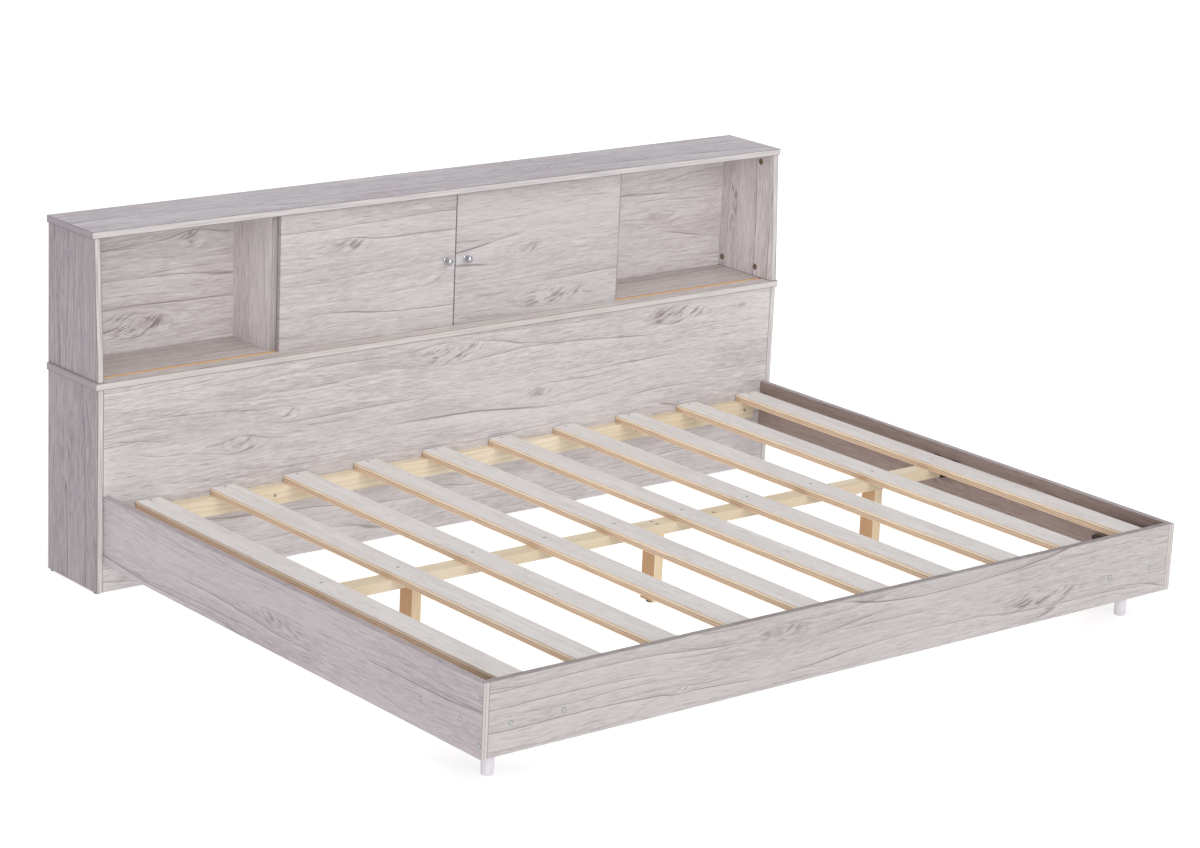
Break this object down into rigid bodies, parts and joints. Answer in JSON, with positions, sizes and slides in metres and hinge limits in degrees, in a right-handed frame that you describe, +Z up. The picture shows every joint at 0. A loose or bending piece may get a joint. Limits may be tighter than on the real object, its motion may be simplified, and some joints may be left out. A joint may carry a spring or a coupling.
{
  "type": "bookcase daybed",
  "caption": "Platform daybed with a slatted base and a long two-tier bookcase along its back, which has open end bays and sliding doors over the middle bay.",
  "frame": {"origin": "on the floor, under the middle of the whole object's box", "axes": "+X along the length of the bed to the right, +Y towards the wall behind the bookcase, +Z up"},
  "size_m": [1.991, 1.602, 0.822],
  "materials": {
    "oak_laminate": "pale washed oak print, satin",
    "hidden_board": "pale washed oak print, satin",
    "back_panel_board": "pale washed oak print, satin",
    "pine": "planed raw pine, matt",
    "slat_plywood": "whitish face veneer with tan layered edges, matt",
    "dark_block": "dark grey-brown stained board, matt",
    "knob_chrome": "polished",
    "zinc_screw": "zinc plated",
    "cam_alloy": "cast zinc",
    "cam_cap_brown": "matt",
    "black_steel": "black coated",
    "beech_dowel": "fluted beech, matt",
    "pale_plastic": "pale lilac-grey, satin",
    "black_plastic": "matt"
  },
  "bodies": {
    "frame_and_case": {"lower_side_left": "oak_laminate", "lower_side_right": "oak_laminate", "lower_front_panel": "oak_laminate", "mid_board": "oak_laminate", "upper_side_left": "oak_laminate", "upper_side_right": "oak_laminate", "divider_left": "oak_laminate", "divider_right": "oak_laminate", "top_board": "oak_laminate", "side_rail_left": "oak_laminate", "side_rail_right": "oak_laminate", "front_rail": "oak_laminate", "lower_back_rail": "hidden_board", "lower_centre_support": "hidden_board", "upper_back_panel": "back_panel_board", "back_ledger": "pine", "front_ledger": "pine", "centre_beam": "pine", "centre_leg_1": "pine", "centre_leg_2": "pine", "centre_leg_3": "pine", "slat_01": "slat_plywood", "slat_02": "slat_plywood", "slat_03": "slat_plywood", "slat_04": "slat_plywood", "slat_05": "slat_plywood", "slat_06": "slat_plywood", "slat_07": "slat_plywood", "slat_08": "slat_plywood", "slat_09": "slat_plywood", "slat_10": "slat_plywood", "corner_block_left": "dark_block", "corner_block_right": "dark_block", "back_panel_nails": "zinc_screw", "rail_bolts": "zinc_screw", "barrel_nuts": "zinc_screw", "corner_screws": "zinc_screw", "corner_block_screws": "zinc_screw", "slat_screws": "zinc_screw", "ledger_screws": "zinc_screw", "beam_screws": "zinc_screw", "hanger_screws": "zinc_screw", "foot_bolts": "zinc_screw", "cam_dowels": "zinc_screw", "cam_locks": "cam_alloy", "cam_covers": "cam_cap_brown", "beam_hanger_left": "black_steel", "beam_hanger_right": "black_steel", "wood_dowels": "beech_dowel", "front_foot_left": "pale_plastic", "front_foot_right": "pale_plastic", "case_glides": "black_plastic", "centre_leg_glides": "black_plastic"},
    "left_door": {"door_left": "oak_laminate", "knob_left": "knob_chrome", "knob_screw_left": "zinc_screw"},
    "right_door": {"door_right": "oak_laminate", "knob_right": "knob_chrome", "knob_screw_right": "zinc_screw"}
  },
  "joints": [
    {"name": "left_door_slide", "type": "slide", "parent": "frame_and_case", "child": "left_door", "axis": [1, 0, 0], "range_m": [-0.48, 0]},
    {"name": "right_door_slide", "type": "slide", "parent": "frame_and_case", "child": "right_door", "axis": [1, 0, 0], "range_m": [0, 0.48]}
  ]
}
